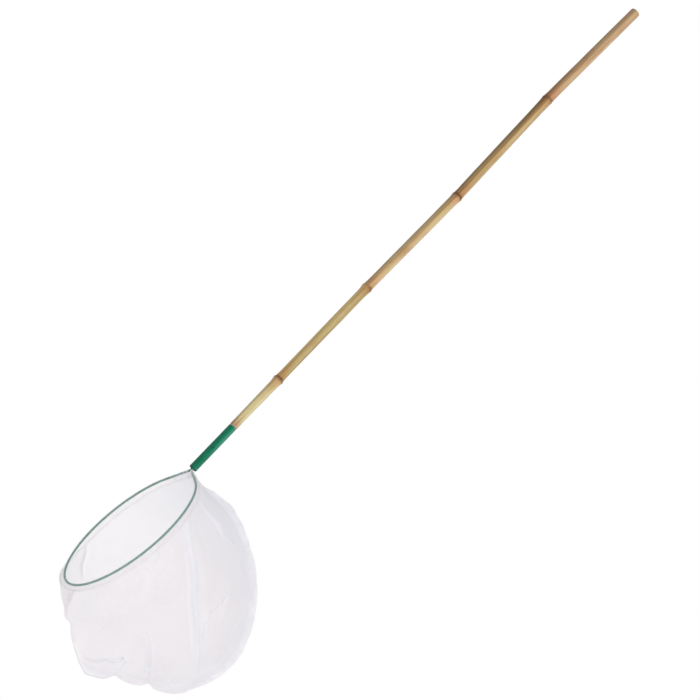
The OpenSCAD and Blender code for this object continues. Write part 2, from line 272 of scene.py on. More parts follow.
def keep_values(piece, name, values):
    """Keeps a number with each point of a piece, for later steps and for its material."""
    piece.data.attributes.new(name, "FLOAT", "POINT").data.foreach_set("value", values)


def keep_places(piece, name, places):
    """Keeps a place with each point of a piece, for later steps and for its material."""
    parts = [part for place in places for part in place]
    piece.data.attributes.new(name, "FLOAT_VECTOR", "POINT").data.foreach_set("vector", parts)


keep_places(cane, "upright", grown)
keep_values(cane, "scar", scars)
keep_values(cane, "blush", blushes)
bpy.ops.object.shade_smooth_by_angle(angle=math.radians(42))


def paint(red, green, blue):
    """A colour as it is seen, from 0 to 255, in the linear light that a shader works in."""
    shades = []
    for shade in (red, green, blue):
        shade /= 255
        shades.append(shade / 12.92 if shade <= 0.04045 else ((shade + 0.055) / 1.055) ** 2.4)
    return (*shades, 1)


def grey(share):
    """An even grey from 0 to 1, as a shade or as a share in a ramp."""
    return (share, share, share, 1)


def add_node(tree, kind, sockets=None, **settings):
    """Adds a node, sets it, and fills or links its inputs."""
    made = tree.nodes.new(kind)
    for name, value in settings.items():
        setattr(made, name, value)
    for name, value in (sockets or {}).items():
        if isinstance(value, bpy.types.NodeSocket):
            tree.links.new(value, made.inputs[name])
        else:
            made.inputs[name].default_value = value
    return made


def add_ramp(tree, value, *stops):
    """A colour ramp from (place, colour) stops."""
    ramp = add_node(tree, "ShaderNodeValToRGB", {"Fac": value})
    bands = ramp.color_ramp.elements
    bands[0].position, bands[0].color = stops[0]
    bands[1].position, bands[1].color = stops[-1]
    for place, colour in stops[1:-1]:
        bands.new(place).color = colour
    return ramp.outputs["Color"]


def mix_colours(tree, share, first, second, blend="MIX"):
    """Lays a second colour over a first one by a share."""
    sockets = {0: share, 6: first, 7: second}
    return add_node(tree, "ShaderNodeMix", sockets, data_type="RGBA", blend_type=blend).outputs[2]


def work_out(tree, operation, *values, clamp=False):
    """The result of one step of arithmetic."""
    sockets = dict(enumerate(values))
    return add_node(tree, "ShaderNodeMath", sockets, operation=operation, use_clamp=clamp).outputs[0]


def rescale(tree, value, low, high, to_low=0.0, to_high=1.0):
    """Carries one range of values over to another, and holds it at both ends."""
    sockets = {"Value": value, "From Min": low, "From Max": high, "To Min": to_low, "To Max": to_high}
    return add_node(tree, "ShaderNodeMapRange", sockets).outputs["Result"]


def read_kept(tree, name, output="Fac"):
    """What each point of the piece keeps under a name."""
    return add_node(tree, "ShaderNodeAttribute", attribute_name=name).outputs[output]


def stretch_place(tree, place, scale):
    return add_node(tree, "ShaderNodeMapping", {"Vector": place, "Scale": scale}).outputs["Vector"]


def add_cloud(tree, place, scale, detail):
    """Soft noise over a place, with its own scale along each axis."""
    sockets = {"Vector": stretch_place(tree, place, scale), "Scale": 1.0, "Detail": detail}
    return add_node(tree, "ShaderNodeTexNoise", sockets).outputs["Fac"]


def add_cells(tree, place, scale):
    """How far a place is from the middle of the nearest of many small cells."""
    sockets = {"Vector": stretch_place(tree, place, scale), "Scale": 1.0}
    return add_node(tree, "ShaderNodeTexVoronoi", sockets).outputs["Distance"]


def add_relief(tree, shader, height, strength, distance):
    """Gives a surface a fine relief."""
    relief = add_node(tree, "ShaderNodeBump", {"Height": height, "Strength": strength, "Distance": distance})
    tree.links.new(relief.outputs["Normal"], shader.inputs["Normal"])


def new_finish(name, roughness, **values):
    """A new material with its node tree and shader."""
    material = bpy.data.materials.new(name)
    material.use_nodes = True
    shader = material.node_tree.nodes["Principled BSDF"]
    shader.inputs["Roughness"].default_value = roughness
    for socket, value in values.items():
        shader.inputs[socket.replace("_", " ")].default_value = value
    return material, material.node_tree, shader


# Each stretch has grown to its own tone, and has painted shade darkening the side that faces up
STRETCH_TONE = ((242, 228, 178), (219, 199, 143), (252, 226, 178), (232, 202, 149), (236, 200, 158))
STRETCH_SIDE_SHADE = (0.24, 0.08, 0.4, 0.46, 0.36)
SIDE_SHADE_FROM = -0.0008
SIDE_SHADE_TO = -0.0062
SIDE_SHADE_MOST = 2.2
SCRAPED = 0.012
TONE_GAP = 0.003
plain_white = paint(255, 255, 255)
fibre_dark = paint(205, 200, 190)
streak_brown = paint(204, 176, 142)
cloud_brown = paint(226, 206, 186)
cloud_green = paint(240, 250, 222)
scraped_tone = paint(212, 168, 138)
painted_side_shade = paint(150, 145, 138)
blush_shade = paint(240, 186, 166)
scar_brown = paint(98, 56, 32)
speck_brown = paint(120, 88, 54)
bamboo, tree, shader = new_finish("bamboo_skin", 0.45, Specular_IOR_Level=0.2)
grown_at = read_kept(tree, "upright", "Vector")
split = add_node(tree, "ShaderNodeSeparateXYZ", {"Vector": grown_at}).outputs
share_up = work_out(tree, "DIVIDE", split["Z"], cane_length)
ferrule_share = FERRULE_L / cane_length
tone_stops = [(ferrule_share, scraped_tone)]
side_shade_stops = []
for stretch in range(RINGS + 1):
    low_share = max(heights[stretch] / cane_length, ferrule_share + SCRAPED) + TONE_GAP
    high_share = (heights[stretch] + lengths[stretch]) / cane_length - TONE_GAP
    for share in (low_share, high_share):
        tone_stops.append((share, paint(*STRETCH_TONE[stretch])))
        side_shade_stops.append((share, grey(STRETCH_SIDE_SHADE[stretch])))
tone = add_ramp(tree, share_up, *tone_stops)
# Painted shade: the side that faces up is darkened, with each stretch darkened by its own share
shaded_side = rescale(tree, split["X"], SIDE_SHADE_FROM, SIDE_SHADE_TO, 0.0, SIDE_SHADE_MOST)
side_shade = work_out(tree, "MULTIPLY", add_ramp(tree, share_up, *side_shade_stops), shaded_side)
tone = mix_colours(tree, side_shade, tone, painted_side_shade, "MULTIPLY")
fibre = add_cloud(tree, grown_at, scale=(1500, 1500, 16), detail=4.0)
streak = add_cloud(tree, grown_at, scale=(260, 260, 7), detail=3.0)
cloud = add_cloud(tree, grown_at, scale=(90, 90, 34), detail=3.0)
fibre_shade = add_ramp(tree, fibre, (0.3, fibre_dark), (0.62, plain_white))
streak_shade = add_ramp(tree, streak, (0.36, streak_brown), (0.58, plain_white))
cloud_shade = add_ramp(tree, cloud, (0.3, cloud_brown), (0.5, plain_white), (0.72, cloud_green))
skin = mix_colours(tree, 0.7, tone, streak_shade, "MULTIPLY")
skin = mix_colours(tree, 0.5, skin, fibre_shade, "MULTIPLY")
skin = mix_colours(tree, 0.6, skin, cloud_shade, "MULTIPLY")
blush_share = work_out(tree, "MULTIPLY", read_kept(tree, "blush"), cloud)
skin = mix_colours(tree, blush_share, skin, blush_shade, "MULTIPLY")
rag = add_cloud(tree, grown_at, scale=(420, 420, 300), detail=3.0)
ragged = work_out(tree, "MULTIPLY_ADD", rag, 0.62, 0.62)
scar_share = work_out(tree, "MULTIPLY", read_kept(tree, "scar"), ragged, clamp=True)
skin = mix_colours(tree, scar_share, skin, scar_brown)
speck = add_cells(tree, grown_at, scale=(520, 520, 150))
speck_share = add_ramp(tree, speck, (0.05, grey(0.5)), (0.13, grey(0)))
skin = mix_colours(tree, speck_share, skin, speck_brown)
tree.links.new(skin, shader.inputs["Base Color"])
tree.links.new(rescale(tree, streak, 0.3, 0.7, 0.36, 0.55), shader.inputs["Roughness"])
add_relief(tree, shader, fibre, strength=0.25, distance=0.0002)

# The cut top end and the holes show the ends of the fibres
END_DEPTH = 0.0001
HOLE_INSET = 0.0004
fibre_end = paint(96, 66, 40)
wood_dark = paint(178, 142, 98)
wood_light = paint(205, 176, 128)
end_grain, tree, shader = new_finish("bamboo_end_grain", 0.8)
bundle = add_cells(tree, read_kept(tree, "upright", "Vector"), scale=(1500, 1500, 60))
grain = add_ramp(tree, bundle, (0.12, fibre_end), (0.32, wood_dark), (0.7, wood_light))
tree.links.new(grain, shader.inputs["Base Color"])
add_relief(tree, shader, bundle, strength=0.4, distance=0.0003)

cane.data.materials.append(bamboo)
cane.data.materials.append(end_grain)
for face in cane.data.polygons:
    places = [grown[corner] for corner in face.vertices]
    at_top = min(place.z for place in places) > cane_length - END_DEPTH
    in_hole = max(place.xy.length for place in places) < CANE_END_R - HOLE_INSET
    face.material_index = 1 if at_top or in_hole else 0
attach(cane, "root")
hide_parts("bamboo_cane")

# Ferrule
# A thin metal tube, enamelled green, pushed over the cane's lower end to keep it from splitting.
# It is cut square, chipped along its upper edge and punched once to hold. Its enamel has painted shade on the
# side that faces up and in the punch, and a painted highlight that is paler towards the hand.
FERRULE_IN_R = 0.00455
FERRULE_TOP_R = 0.00515
FERRULE_LOW_R = 0.0052
FERRULE_LIP = 0.00012
FERRULE_SIDES = 64
FERRULE_STEPS = 48
PUNCH_AT = 0.035
PUNCH_TURN = math.radians(20)
PUNCH_REACH = 0.001344
PUNCH_DEPTH = 0.0004
DENT_DEPTH = 0.00008
ferrule_profile = [
    (FERRULE_IN_R, FERRULE_LIP),
    (FERRULE_IN_R + FERRULE_LIP, 0),
    (FERRULE_LOW_R - FERRULE_LIP, 0),
]
for step in range(FERRULE_STEPS + 1):
    part = step / FERRULE_STEPS
    radius = FERRULE_LOW_R + (FERRULE_TOP_R - FERRULE_LOW_R) * part
    ferrule_profile.append((radius, FERRULE_LIP + (FERRULE_L - 2 * FERRULE_LIP) * part))
ferrule_profile += [
    (FERRULE_TOP_R - FERRULE_LIP, FERRULE_L),
    (FERRULE_IN_R + FERRULE_LIP, FERRULE_L),
    (FERRULE_IN_R, FERRULE_L - FERRULE_LIP),
]
tube = draw_up("ferrule_tube", ferrule_profile, FERRULE_SIDES)
pick_rings(tube, FERRULE_SIDES, last=True)
bpy.ops.mesh.bridge_edge_loops()
face_outwards()
punch_way = Vector((-math.sin(PUNCH_TURN), -math.cos(PUNCH_TURN), 0))
drawn_at = []
punched = []
for vertex in tube.data.vertices:
    place = vertex.co.copy()
    drawn_at.append(place.copy())
    around = Vector((place.x, place.y, 0))
    pressed = 0.0
    if around.length > FERRULE_IN_R + 2 * FERRULE_LIP:
        out = around.normalized()
        spot = punch_way * around.length + Vector((0, 0, PUNCH_AT))
        pressed = hump((place - spot).length, PUNCH_REACH)
        place -= out * PUNCH_DEPTH * pressed
        place -= out * DENT_DEPTH * max(0.0, unevenness(out, place.z, turns=1.1, rate=55, shift=3))
    punched.append(pressed)
    vertex.co = on_cane(place)
keep_places(tube, "upright", drawn_at)
keep_values(tube, "punched", punched)
bpy.ops.object.shade_smooth_by_angle(angle=math.radians(35))


def open_group(name, inputs, outputs):
    """A shader node group with its inputs' kinds by name, and outputs that are all plain values."""
    group = bpy.data.node_groups.new(name, "ShaderNodeTree")
    for socket, kind in inputs.items():
        group.interface.new_socket(socket, in_out="INPUT", socket_type=kind)
    for socket in outputs:
        group.interface.new_socket(socket, in_out="OUTPUT", socket_type="NodeSocketFloat")
    coming = group.nodes.new("NodeGroupInput").outputs
    going = group.nodes.new("NodeGroupOutput").inputs
    return group, coming, going


def enamel_wear():
    """Cloudy thickness, fine scratches, small chips and the peel of an enamel coat."""
    inputs = {"Place": "NodeSocketVector", "Chips": "NodeSocketFloat"}
    group, coming, going = open_group("enamel_wear", inputs, ("Cloud", "Scratch", "Chip", "Height"))
    group.links.new(add_cloud(group, coming["Place"], scale=(95, 95, 95), detail=3.0), going["Cloud"])
    lines = add_cloud(group, coming["Place"], scale=(900, 900, 60), detail=2.0)
    group.links.new(rescale(group, lines, 0.62, 0.72), going["Scratch"])
    spots = add_cloud(group, coming["Place"], scale=(1400, 1400, 1400), detail=4.0)
    chip = rescale(group, work_out(group, "ADD", spots, coming["Chips"]), 0.9, 0.98)
    group.links.new(chip, going["Chip"])
    group.links.new(add_cloud(group, coming["Place"], scale=(700, 700, 700), detail=2.0), going["Height"])
    return group


wear = enamel_wear()
CHIPPED_EDGE = 0.002
CHIPS_PLAIN = 0.06
CHIPS_EDGE = 0.62
HIGHLIGHT_FROM = 0.3 * FERRULE_L
HIGHLIGHT_TO = 0.65 * FERRULE_L
enamel_dark = paint(8, 114, 83)
enamel_middle = paint(14, 123, 92)
enamel_light = paint(24, 132, 101)
scratched_green = paint(34, 132, 103)
tube_shade_green = paint(12, 80, 58)
highlight_green = paint(84, 168, 138)
punch_shade_green = paint(8, 70, 50)
bare_metal = paint(176, 178, 172)
ferrule_enamel, tree, shader = new_finish("ferrule_enamel", 0.3, Specular_IOR_Level=0.14)
tube_at = read_kept(tree, "upright", "Vector")
split = add_node(tree, "ShaderNodeSeparateXYZ", {"Vector": tube_at}).outputs
chips = rescale(tree, split["Z"], FERRULE_L - CHIPPED_EDGE, FERRULE_L, CHIPS_PLAIN, CHIPS_EDGE)
worn = add_node(tree, "ShaderNodeGroup", {"Place": tube_at, "Chips": chips}, node_tree=wear).outputs
green = add_ramp(tree, worn["Cloud"], (0.3, enamel_dark), (0.55, enamel_middle), (0.75, enamel_light))
green = mix_colours(tree, worn["Scratch"], green, scratched_green)
across_tube = rescale(tree, split["X"], -FERRULE_LOW_R, FERRULE_LOW_R)
# Painted shade darkens the enamel on the side that faces up
tube_shade = add_ramp(tree, across_tube, (0.05, grey(0.5)), (0.4, grey(0)))
green = mix_colours(tree, tube_shade, green, tube_shade_green)
# Painted highlight: a paler streak just right of the tube's middle, stronger up the tube towards the hand
painted_highlight = add_ramp(tree, across_tube, (0.4, grey(0)), (0.62, grey(0.6)), (0.95, grey(0.4)))
painted_highlight = work_out(tree, "MULTIPLY", painted_highlight, rescale(tree, split["Z"], HIGHLIGHT_FROM, HIGHLIGHT_TO, 0.3, 1.0))
green = mix_colours(tree, painted_highlight, green, highlight_green)
# Painted shade darkens the enamel in and around the punched dent
green = mix_colours(tree, read_kept(tree, "punched"), green, punch_shade_green)
green = mix_colours(tree, worn["Chip"], green, bare_metal)
tree.links.new(green, shader.inputs["Base Color"])
tree.links.new(worn["Chip"], shader.inputs["Metallic"])
tree.links.new(rescale(tree, worn["Cloud"], 0.3, 0.7, 0.24, 0.36), shader.inputs["Roughness"])
add_relief(tree, shader, worn["Height"], strength=0.04, distance=0.0002)
tube.data.materials.append(ferrule_enamel)
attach(tube, "root")
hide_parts("ferrule")

# Hoop wire
# One length of round steel wire with a green coat, bent to a ring with two reverse bends at the neck.
# Its two tails are pushed up the drilled cane, where the ferrule grips them.
WIRE_CHIPS = 0.1
wire_dark = paint(40, 127, 106)
wire_middle = paint(46, 137, 115)
wire_light = paint(56, 147, 125)
bare_wire = paint(150, 152, 146)
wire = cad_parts["hoop_wire"]
wire_enamel, tree, shader = new_finish("wire_enamel", 0.42, Specular_IOR_Level=0.14)
wire_at = add_node(tree, "ShaderNodeTexCoord").outputs["Object"]
worn = add_node(tree, "ShaderNodeGroup", {"Place": wire_at, "Chips": WIRE_CHIPS}, node_tree=wear).outputs
green = add_ramp(tree, worn["Cloud"], (0.3, wire_dark), (0.55, wire_middle), (0.75, wire_light))
green = mix_colours(tree, worn["Chip"], green, bare_wire)
tree.links.new(green, shader.inputs["Base Color"])
tree.links.new(worn["Chip"], shader.inputs["Metallic"])
tree.links.new(rescale(tree, worn["Scratch"], 0.0, 1.0, 0.34, 0.5), shader.inputs["Roughness"])
add_relief(tree, shader, worn["Height"], strength=0.15, distance=0.0002)
for wire_slot in wire.material_slots:
    wire_slot.material = wire_enamel

# Rim casing
# A band of the net folded over the wire all round, with its two ends drawn up against the ferrule.
# It is a single layer on each side of the wire, puckered by its stitching, and tips outwards at the far back.
HOOP_R = 0.095
HOOP_SLOPE = 40.5
NECK_TURN = math.radians(24.5)
TAIL_Y = 0.00145
BEND_R = 0.004
MOUTH_GAP = 0.001
CASING_DROP = 0.009
CASING_R = 0.00185
CASING_BEND = 2.2
CASING_SIDE_STEPS = 5
CASING_TOP_STEPS = 10
CASING_STEPS = 340
CASING_END = math.radians(1.5)
HEM_HALF = 0.0004
NECK_ARC = math.radians(30)
TIP_AT = math.radians(144)
TIP_WIDE = math.radians(30)
TIP_TURN = math.radians(85)
hoop_x = slope_way(HOOP_SLOPE)
hoop_y = Vector((0, 1, 0))
hoop_n = Vector((-hoop_x.z, 0, hoop_x.x))
bend_y = TAIL_Y + BEND_R
bend_x = (HOOP_R + BEND_R - bend_y * math.sin(NECK_TURN)) / math.cos(NECK_TURN)
hoop_centre = starts[0] - MOUTH_GAP * alongs[0] - bend_x * hoop_x
straight_run = HOOP_R * math.tan(NECK_TURN - CASING_END)
round_run = HOOP_R * (2 * math.pi - 2 * NECK_TURN)
casing_run = 2 * straight_run + round_run


def fall(off, reach):
    """1 at a place, and evenly less on both sides of it, to nothing at its reach."""
    return max(0.0, 1 - abs(off) / reach)


def neck_share(turn):
    """How near an angle round the hoop is to the neck, from 0 to 1."""
    return fall(math.remainder(turn, 2 * math.pi), NECK_ARC)


def rim_at(turn):
    """How far the wire is from the hoop's centre at an angle, and the angle that it faces there."""
    turn = math.remainder(turn, 2 * math.pi)
    if abs(turn) >= NECK_TURN:
        return HOOP_R, turn
    return HOOP_R / math.cos(NECK_TURN - abs(turn)), math.copysign(NECK_TURN, turn)


def rim_way(turn):
    """The way from the hoop's centre at an angle, in the hoop's plane."""
    return math.cos(turn) * hoop_x + math.sin(turn) * hoop_y


def turn_at(run):
    """The angle round the hoop at a distance along the band, which starts behind the neck."""
    if run < straight_run:
        return NECK_TURN - math.atan((straight_run - run) / HOOP_R)
    if run > casing_run - straight_run:
        return 2 * math.pi - NECK_TURN + math.atan((run + straight_run - casing_run) / HOOP_R)
    return NECK_TURN + (run - straight_run) / HOOP_R


def tip_at(turn):
    """How far the band tips outwards about the wire."""
    return TIP_TURN * hump(math.remainder(turn - TIP_AT, 2 * math.pi), TIP_WIDE)


def ripple(run, rate, shift):
    """Smooth noise along a line, at a rate and with a shift of its own."""
    return noise.noise(Vector((run * rate, shift, 0)))


# The stitching puckers the band's lower edge, and the neck its outer side
CASING_PUCKER = 0.001
CASING_WAVE = 0.0007


def casing_point(run, out, lift):
    """A point of the band by its place along it, its distance out from the wire and above its plane."""
    turn = turn_at(run)
    radius, facing = rim_at(turn)
    outer = 0.5 + 0.5 * max(-1.0, min(1.0, out / CASING_R))
    low = min(1.0, max(0.0, -lift / CASING_DROP))
    pucker = ripple(run, 180, 0.5) + 0.6 * ripple(run, 430, 2.5)
    out += CASING_PUCKER * pucker * (low ** 1.5 + neck_share(turn) * outer)
    lift += CASING_WAVE * low * ripple(run, 125, 8.5)
    tip = tip_at(turn) * min(1.0, low * 2)
    tipped_out = out * math.cos(tip) - lift * math.sin(tip)
    tipped_lift = lift * math.cos(tip) + out * math.sin(tip)
    return hoop_centre + radius * rim_way(turn) + tipped_out * rim_way(facing) + tipped_lift * hoop_n


# The band's section, from the outer hem up over the wire and down to the inner hem
outer_side = []
for step in range(CASING_SIDE_STEPS + 1):
    part = step / CASING_SIDE_STEPS
    outer_side.append((HEM_HALF + (CASING_R - HEM_HALF) * part ** CASING_BEND, -CASING_DROP * (1 - part)))
over_wire = []
for step in range(1, CASING_TOP_STEPS):
    lean = math.pi * step / CASING_TOP_STEPS
    over_wire.append((CASING_R * math.cos(lean), CASING_R * math.sin(lean)))
inner_side = [(-out, lift) for out, lift in reversed(outer_side)]
casing_section = outer_side + over_wire + inner_side
section_steps = len(casing_section) - 1
section_run = [0.0]
for before, after in zip(casing_section, casing_section[1:]):
    section_run.append(section_run[-1] + math.dist(before, after))

# The net is drawn closer over the wire and towards the neck, most of all on its near side
WIRE_WRAP = 0.1
NECK_GATHER = 0.6
NEAR_GATHER = 1.5
bpy.ops.object.select_all(action="DESELECT")
bpy.ops.mesh.primitive_grid_add(x_subdivisions=CASING_STEPS, y_subdivisions=section_steps, size=1)
casing = bpy.context.object
casing.name = "rim_band"
casing.data.name = "rim_band"
bunches = []
for vertex in casing.data.vertices:
    run = casing_run * (vertex.co.x + 0.5)
    out, lift = casing_section[round((vertex.co.y + 0.5) * section_steps)]
    vertex.co = casing_point(run, out, lift)
    near = neck_share(turn_at(run))
    bunch = NECK_GATHER * near ** 1.5
    if lift > -CASING_R / 2:
        bunch = max(bunch, WIRE_WRAP)
    if run > casing_run / 2:
        bunch = max(bunch, NEAR_GATHER * near ** 3)
    bunches.append(bunch)
keep_values(casing, "bunch", bunches)
casing.data.uv_layers.active.name = "cloth"
uv = casing.data.uv_layers.active.data
for face in casing.data.polygons:
    for corner in face.loop_indices:
        round_share, across = uv[corner].uv
        uv[corner].uv = (round_share * casing_run, section_run[round(across * section_steps)])
bpy.ops.object.shade_smooth()

NET_WANDER = 0.003
THREAD_SOFT = 0.03


def net_weave():
    """Square net: where a thread covers, how high it stands, and how its tone varies."""
    inputs = {"Cloth": "NodeSocketVector", "Pitch": "NodeSocketFloat", "Thread": "NodeSocketFloat"}
    group, coming, going = open_group("net_weave", inputs, ("Cover", "Height", "Tone"))
    wander = add_node(group, "ShaderNodeTexNoise", {"Vector": coming["Cloth"], "Scale": 60.0, "Detail": 2.0})
    sockets = {0: wander.outputs["Color"], 1: (0.5, 0.5, 0.5)}
    shift = add_node(group, "ShaderNodeVectorMath", sockets, operation="SUBTRACT").outputs[0]
    sockets = {0: shift, "Scale": NET_WANDER}
    shift = add_node(group, "ShaderNodeVectorMath", sockets, operation="SCALE").outputs[0]
    sockets = {0: coming["Cloth"], 1: shift}
    placed = add_node(group, "ShaderNodeVectorMath", sockets, operation="ADD").outputs[0]
    split = add_node(group, "ShaderNodeSeparateXYZ", {"Vector": placed}).outputs
    half = work_out(group, "MULTIPLY", coming["Thread"], 0.5)
    covers = []
    for axis in ("X", "Y"):
        cell = work_out(group, "FRACT", work_out(group, "DIVIDE", split[axis], coming["Pitch"]))
        away = work_out(group, "ABSOLUTE", work_out(group, "SUBTRACT", cell, 0.5))
        covers.append(work_out(group, "SUBTRACT", half, away))
    nearest = work_out(group, "MAXIMUM", *covers)
    group.links.new(rescale(group, nearest, -THREAD_SOFT, THREAD_SOFT), going["Cover"])
    group.links.new(work_out(group, "DIVIDE", nearest, half, clamp=True), going["Height"])
    group.links.new(add_cloud(group, coming["Cloth"], scale=(24, 24, 24), detail=3.0), going["Tone"])
    return group


weave = net_weave()
NET_PITCH = 0.0011
NET_THREAD = 0.19
CASING_THREAD = 0.1
BUNCHED_THREAD = 0.35
COOL_BUNCH = 0.45
net_dark = paint(238, 229, 236)
net_middle = paint(245, 237, 243)
net_light = paint(248, 243, 249)
net_cool = paint(243, 242, 249)


def net_finish(name, thread):
    """Sheer white net of fine plastic thread, which looks cooler where it is drawn closer."""
    material, tree, shader = new_finish(
        name, 0.6, Sheen_Weight=0.25, Sheen_Roughness=0.5, Specular_IOR_Level=0.3
    )
    cloth_at = add_node(tree, "ShaderNodeUVMap", uv_map="cloth").outputs["UV"]
    bunched = read_kept(tree, "bunch")
    closer = work_out(tree, "MULTIPLY_ADD", bunched, BUNCHED_THREAD, thread)
    sockets = {"Cloth": cloth_at, "Pitch": NET_PITCH, "Thread": closer}
    net = add_node(tree, "ShaderNodeGroup", sockets, node_tree=weave).outputs
    white = add_ramp(tree, net["Tone"], (0.3, net_dark), (0.55, net_middle), (0.8, net_light))
    white = mix_colours(tree, rescale(tree, bunched, 0.0, COOL_BUNCH), white, net_cool)
    tree.links.new(white, shader.inputs["Base Color"])
    tree.links.new(net["Cover"], shader.inputs["Alpha"])
    add_relief(tree, shader, net["Height"], strength=0.3, distance=0.0001)
    return material


casing_net = net_finish("casing_net", CASING_THREAD)
casing.data.materials.append(casing_net)
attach(casing, "root")
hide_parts("rim_casing")

# Bag panels
# Two like panels of sheer net, cut as a deep U and sewn together along it, so the bag is flat at its bottom.
# Their top edges are caught in the rim casing's hem, and the cloth hangs from it in soft folds.
PANEL_TOP = 0.00915
TUCKED_IN = 0.001
NECK_PULL = (0.115, -0.075)
LOW_PULL = (0.112, -0.326)
CORNER = (0.011, -0.095)
FAR_BOW = 0.022
BAG_TAPER = 1.2
SHOULDER = 0.008
SHOULDER_REACH = 0.4
NECK_DIP = 0.008
DIP_AT = 0.045
SEAM_SPLIT = 0.5
TIP_REACH = 0.35
PANEL_COLS = 72
PANEL_ROWS = 54
rim_x = Vector((hoop_x.x, hoop_x.z))
rim_n = Vector((hoop_n.x, hoop_n.z))
neck_at = rim_at(0)[0] * rim_x - PANEL_TOP * rim_n
far_at = -HOOP_R * rim_x - PANEL_TOP * rim_n
corner_at = far_at + Vector(CORNER)
neck_pull_at = neck_at + Vector(NECK_PULL)
low_pull_at = neck_at + Vector(LOW_PULL)
far_pull_at = (far_at + corner_at) / 2 - Vector((FAR_BOW, 0))

# Each fold has its place at its top and at its foot, from the far side to the neck,
# then its two ends, from the rim down, and its share of the deepest one
FOLD_H = 0.004
FOLD_W = 0.05
FRONT_FOLDS = (
    (0.57, 0.48, 0.06, 0.94, 1.0),
    (0.69, 0.86, 0.0, 0.54, 0.9),
    (0.38, 0.26, 0.0, 0.32, 0.7),
    (0.76, 0.5, 0.52, 0.78, 0.7),
    (0.27, 0.28, 0.45, 0.96, 0.8),
)
BACK_FOLDS = ((0.7, 0.58, 0.08, 0.9, 0.8), (0.46, 0.4, 0.1, 0.85, 1.0), (0.24, 0.28, 0.04, 0.6, 0.7))


def ridge(across):
    """A ridge beside a groove, each 1 at its height."""
    return math.sqrt(2 * math.e) * across * hump(across, 1)


def folds_at(folds, u, v):
    """How far the folds carry the cloth outwards."""
    depth = 0.0
    for top_u, foot_u, begin, end, share in folds:
        run = (v - begin) / (end - begin)
        if 0 < run < 1:
            across = (u - top_u - (foot_u - top_u) * run) / FOLD_W
            depth += FOLD_H * share * math.sin(math.pi * run) * ridge(across)
    return depth


def rise_and_fade(off, top_at):
    """Nothing at first, 1 at its top, and slowly fading beyond it."""
    return off / top_at * math.exp(1 - off / top_at)


def long_seam(t):
    """The seam from the neck round the bottom to the far corner, from the hoop's centre."""
    s = 1 - t
    drawn = s ** 3 * neck_at + 3 * s * s * t * neck_pull_at + 3 * s * t * t * low_pull_at + t ** 3 * corner_at
    return drawn - Vector((0, NECK_DIP * rise_and_fade(t, DIP_AT)))


def far_edge(t):
    """The bag's far side, from the rim down to the corner."""
    s = 1 - t
    return s * s * far_at + 2 * s * t * far_pull_at + t * t * corner_at


# The seam's thread draws the bottom up into two puckers, and beside them it hangs in a lobe
PUCKERS = (0.1, 0.235)
PUCKER_WIDE = 0.022
PUCKER_RISE = 0.004
LIFT_AT = 0.14
LIFT_WIDE = 0.09
LIFT_RISE = 0.005
LOBE_AT = 0.37
LOBE_WIDE = 0.08
LOBE_DROP = 0.004


def pucker_at(u):
    return sum(hump(u - place, PUCKER_WIDE) for place in PUCKERS)


def panel_point(u, v, side, folds):
    """A point of the bag, with u from the far side to the neck, v from the rim down, and side -1 in front."""
    turn = side * math.pi * (1 - u)
    radius, facing = rim_at(turn)
    top = -radius * math.cos(math.pi * u) * rim_x - PANEL_TOP * rim_n
    lift = LIFT_RISE * hump(u - LIFT_AT, LIFT_WIDE) + PUCKER_RISE * pucker_at(u)
    lobe = LOBE_DROP * hump(u - LOBE_AT, LOBE_WIDE)
    bottom = long_seam(1 - (1 - SEAM_SPLIT) * u) + Vector((0, lift - lobe))
    neck = long_seam(SEAM_SPLIT * v)
    flat = (1 - v) * top + v * bottom + (1 - u) * far_edge(v) + u * neck
    flat -= (1 - u) * ((1 - v) * far_at + v * corner_at) + u * ((1 - v) * neck_at + v * long_seam(SEAM_SPLIT))
    depth = radius * math.sin(math.pi * u) * (1 - v ** BAG_TAPER) + folds_at(folds, u, v)
    swell = SHOULDER * math.sin(math.pi * min(1.0, v / SHOULDER_REACH)) ** 1.5 * (1 - u ** 3)
    flat -= swell * math.cos(math.pi * u) * rim_x
    depth += swell * math.sin(math.pi * u)
    tip = tip_at(turn)
    tipped = PANEL_TOP * max(0.0, 1 - (v / TIP_REACH) ** 2)
    flat += tipped * (math.sin(tip) * math.cos(facing) * rim_x + (1 - math.cos(tip)) * rim_n)
    depth += tipped * math.sin(tip) * abs(math.sin(facing))
    return hoop_centre + Vector((flat.x, side * depth, flat.y))


# The net is drawn closer at the neck and its side, at the bottom and the far back, and opens at the far front
NECK_BUNCH = 0.7
NECK_BUNCH_REACH = 0.12
SIDE_BUNCH = 0.8
SIDE_FROM = 0.6
SIDE_FADE = 0.75
LOW_BUNCH = 0.25
LOW_FROM = 0.75
FAR_OPEN = 0.45
FAR_OPEN_WIDE = 0.3
FAR_OPEN_DEEP = 0.35
FAR_CLOSE = 0.5
FAR_CLOSE_AT = 0.28
FAR_CLOSE_WIDE = 0.16
FAR_CLOSE_DEEP = 0.25


def bunch_at(u, v, side):
    """How much closer than plain the net is drawn at a place of a panel."""
    neck_side = SIDE_BUNCH * max(0.0, (u - SIDE_FROM) / (1 - SIDE_FROM)) * (1 - SIDE_FADE * v)
    low_side = LOW_BUNCH * max(0.0, (v - LOW_FROM) / (1 - LOW_FROM))
    at_neck = NECK_BUNCH * neck_share(math.pi * (1 - u)) ** 1.5 * fall(v, NECK_BUNCH_REACH)
    if side < 0:
        far_side = -FAR_OPEN * fall(u, FAR_OPEN_WIDE) * fall(v, FAR_OPEN_DEEP)
    else:
        far_side = FAR_CLOSE * fall(u - FAR_CLOSE_AT, FAR_CLOSE_WIDE) * fall(v, FAR_CLOSE_DEEP)
    return max(at_neck, neck_side + low_side) + far_side


